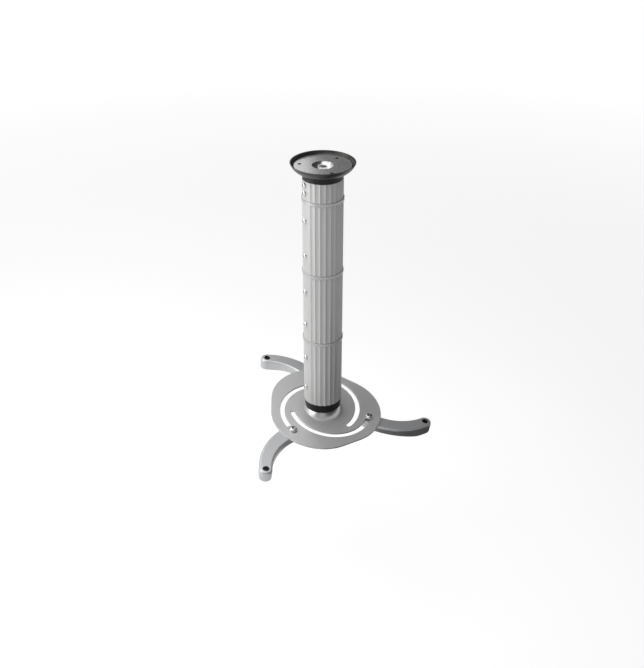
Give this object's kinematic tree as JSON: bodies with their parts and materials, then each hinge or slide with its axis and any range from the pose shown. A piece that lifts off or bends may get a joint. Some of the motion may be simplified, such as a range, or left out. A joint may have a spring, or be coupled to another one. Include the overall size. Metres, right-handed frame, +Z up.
{
  "type": "projector ceiling mount",
  "caption": "Ceiling mount for a projector: a fluted modular column under a round ceiling plate carries a slotted base plate on a ball joint, with curved arms that bolt to the projector.",
  "frame": {"origin": "centre of the ceiling plate's mounting face", "axes": "+Z up towards the ceiling, +X to the right and -Y towards the viewer of the picture"},
  "size_m": [0.2548, 0.2472, 0.4183],
  "materials": {
    "zinc_steel": "brushed zinc plate",
    "canopy_black": "satin black",
    "cap_black": "satin black",
    "column_aluminium": "satin anodised",
    "fastener_steel": "bright plated",
    "base_steel": "satin with a polished dome",
    "arm_aluminium": "satin painted casting",
    "liner_nylon": "natural"
  },
  "bodies": {
    "ceiling": {"ceiling_plate": "zinc_steel"},
    "cover": {"canopy": "canopy_black"},
    "column": {"swivel_bolt": "fastener_steel", "swivel_washer": "fastener_steel", "swivel_lock_washer": "fastener_steel", "swivel_nut": "fastener_steel", "column_stub": "column_aluminium", "column_segment_upper": "column_aluminium", "column_segment_middle": "column_aluminium", "column_segment_lower": "column_aluminium", "joiner_upper": "column_aluminium", "joiner_middle": "column_aluminium", "joiner_lower": "column_aluminium", "column_screws": "fastener_steel", "top_end_cap": "cap_black", "bottom_end_cap": "cap_black", "base_bolt": "fastener_steel", "base_lock_washer": "fastener_steel", "base_nut": "fastener_steel"},
    "ball_washer": {"base_ball_washer": "zinc_steel"},
    "liner": {"base_liner": "liner_nylon"},
    "base": {"base_plate": "base_steel"},
    "carriage_right": {"arm_bolt_right": "fastener_steel", "arm_nut_right": "fastener_steel"},
    "right_arm": {"arm_right": "arm_aluminium"},
    "carriage_left": {"arm_bolt_left": "fastener_steel", "arm_nut_left": "fastener_steel"},
    "left_arm": {"arm_left": "arm_aluminium"},
    "carriage_rear": {"arm_bolt_rear": "fastener_steel", "arm_nut_rear": "fastener_steel"},
    "rear_arm": {"arm_rear": "arm_aluminium"}
  },
  "joints": [
    {"name": "canopy_slide", "type": "slide", "parent": "ceiling", "child": "cover", "axis": [0, 0, 1], "range_m": [-0.004, 0]},
    {"name": "column_swivel", "type": "hinge", "parent": "ceiling", "child": "column", "pos_m": [0, 0, -0.009], "axis": [0, 0, 1], "continuous": true},
    {"name": "base_swivel", "type": "hinge", "parent": "column", "child": "ball_washer", "pos_m": [0, 0, -0.38498], "axis": [0, 0, 1], "continuous": true},
    {"name": "base_tilt", "type": "hinge", "parent": "ball_washer", "child": "liner", "pos_m": [0, 0, -0.38498], "axis": [0.7431, 0.6691, 0], "range_deg": [-25.8, 4.2]},
    {"name": "base_spin", "type": "hinge", "parent": "liner", "child": "base", "pos_m": [0, 0, -0.38498], "axis": [0.1254, -0.1393, 0.9823], "continuous": true},
    {"name": "slot_right", "type": "hinge", "parent": "base", "child": "carriage_right", "pos_m": [0.0113, 0.00203, -0.37536], "axis": [0.1254, -0.1393, 0.9823], "range_deg": [-60, 1]},
    {"name": "swing_right", "type": "hinge", "parent": "carriage_right", "child": "right_arm", "pos_m": [0.06688, -0.0106, -0.38628], "axis": [0.1254, -0.1393, 0.9823], "range_deg": [-30, 30]},
    {"name": "slot_left", "type": "hinge", "parent": "base", "child": "carriage_left", "pos_m": [-0.00077, -0.01179, -0.37578], "axis": [0.1254, -0.1393, 0.9823], "range_deg": [-40, 2.5]},
    {"name": "swing_left", "type": "hinge", "parent": "carriage_left", "child": "left_arm", "pos_m": [-0.04207, -0.05249, -0.37832], "axis": [0.1254, -0.1393, 0.9823], "range_deg": [-30, 30]},
    {"name": "slot_rear", "type": "hinge", "parent": "base", "child": "carriage_rear", "pos_m": [-0.00655, 0.00534, -0.37262], "axis": [0.1254, -0.1393, 0.9823], "range_deg": [-57, 13]},
    {"name": "swing_rear", "type": "hinge", "parent": "carriage_rear", "child": "rear_arm", "pos_m": [-0.0103, 0.06288, -0.36602], "axis": [0.1254, -0.1393, 0.9823], "range_deg": [-30, 30]}
  ]
}
